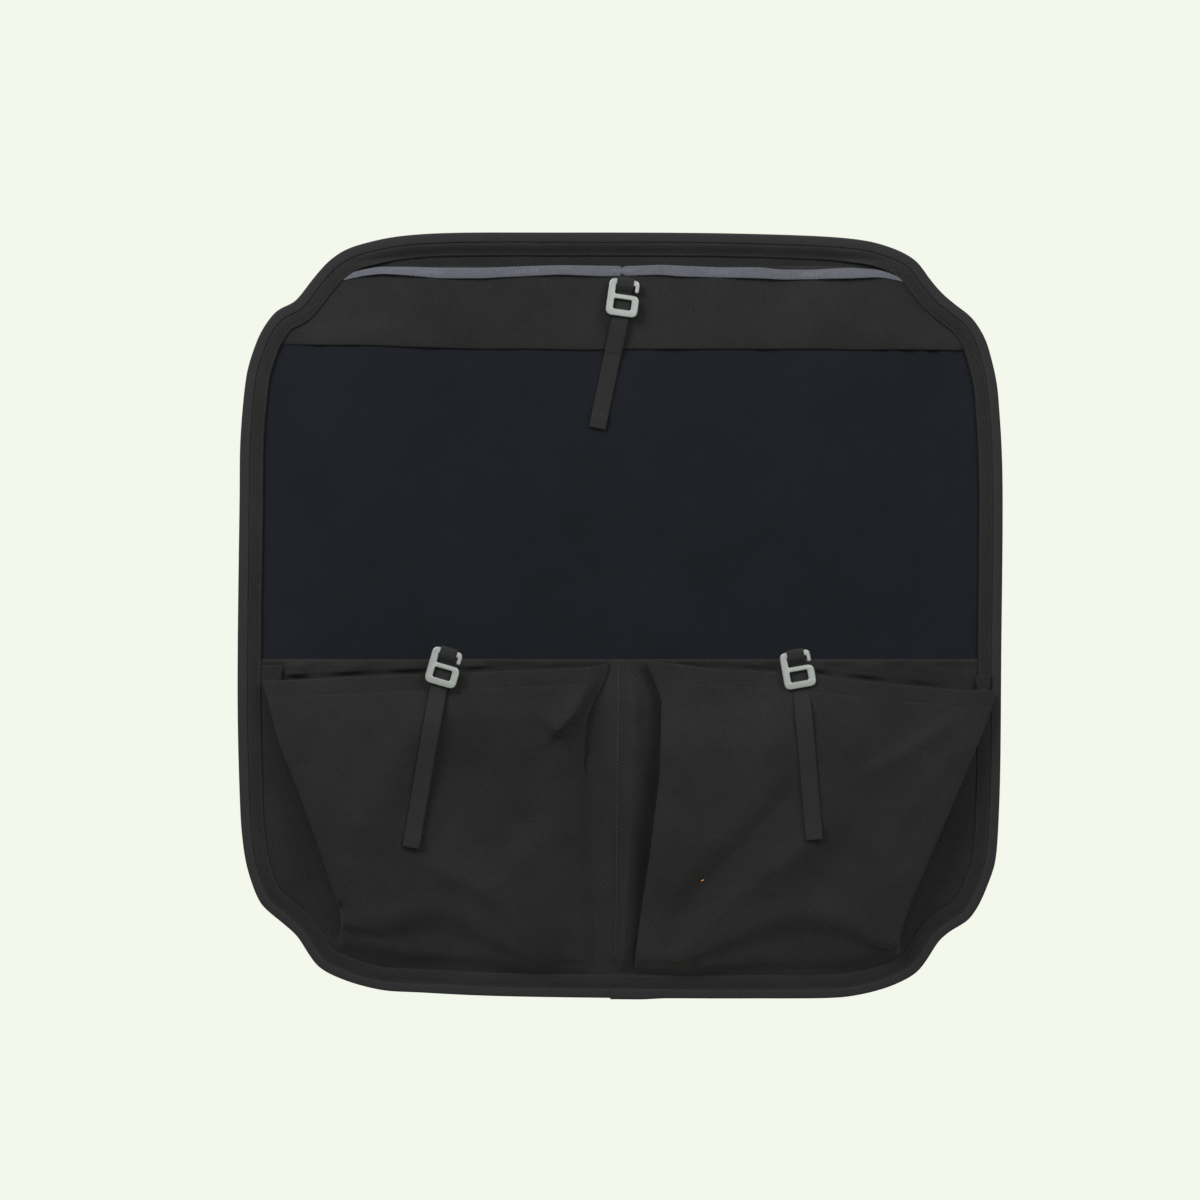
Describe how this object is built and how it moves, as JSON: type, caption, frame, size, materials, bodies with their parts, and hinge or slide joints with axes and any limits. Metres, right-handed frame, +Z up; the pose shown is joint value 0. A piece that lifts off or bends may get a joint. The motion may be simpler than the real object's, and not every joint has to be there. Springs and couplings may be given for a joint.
{
  "type": "van door storage panel",
  "caption": "Flat padded fabric panel for a van door window, with a wide upper pocket, bellows pockets below and hooks on straps.",
  "frame": {"origin": "centre of the rear lining's outer face, which lies against the door", "axes": "+Z up, +X to the right seen from the front, +Y out of the back face towards the door"},
  "size_m": [0.666, 0.0461, 0.6675],
  "materials": {
    "canvas": "matte",
    "navy_weave": "matte",
    "binding_tape": "matte",
    "grey_webbing": "matte",
    "black_webbing": "matte",
    "foam": "matte",
    "hook_metal": "satin",
    "magnet_metal": "plated"
  },
  "bodies": {
    "root": {"rear_lining": "canvas", "foam_core": "foam", "base_panel": "canvas", "lower_panel": "canvas", "top_band": "canvas", "edge_facing": "canvas", "pocket_fabric": "canvas", "navy_panel": "navy_weave", "edge_binding": "binding_tape", "daisy_webbing": "grey_webbing", "top_strap": "black_webbing", "left_strap": "black_webbing", "right_strap": "black_webbing", "top_hook": "hook_metal", "left_hook": "hook_metal", "right_hook": "hook_metal", "magnet_01": "magnet_metal", "magnet_02": "magnet_metal", "magnet_03": "magnet_metal", "magnet_04": "magnet_metal", "magnet_05": "magnet_metal", "magnet_06": "magnet_metal", "magnet_07": "magnet_metal", "magnet_08": "magnet_metal", "magnet_09": "magnet_metal", "magnet_10": "magnet_metal", "magnet_11": "magnet_metal", "magnet_12": "magnet_metal"}
  },
  "joints": []
}
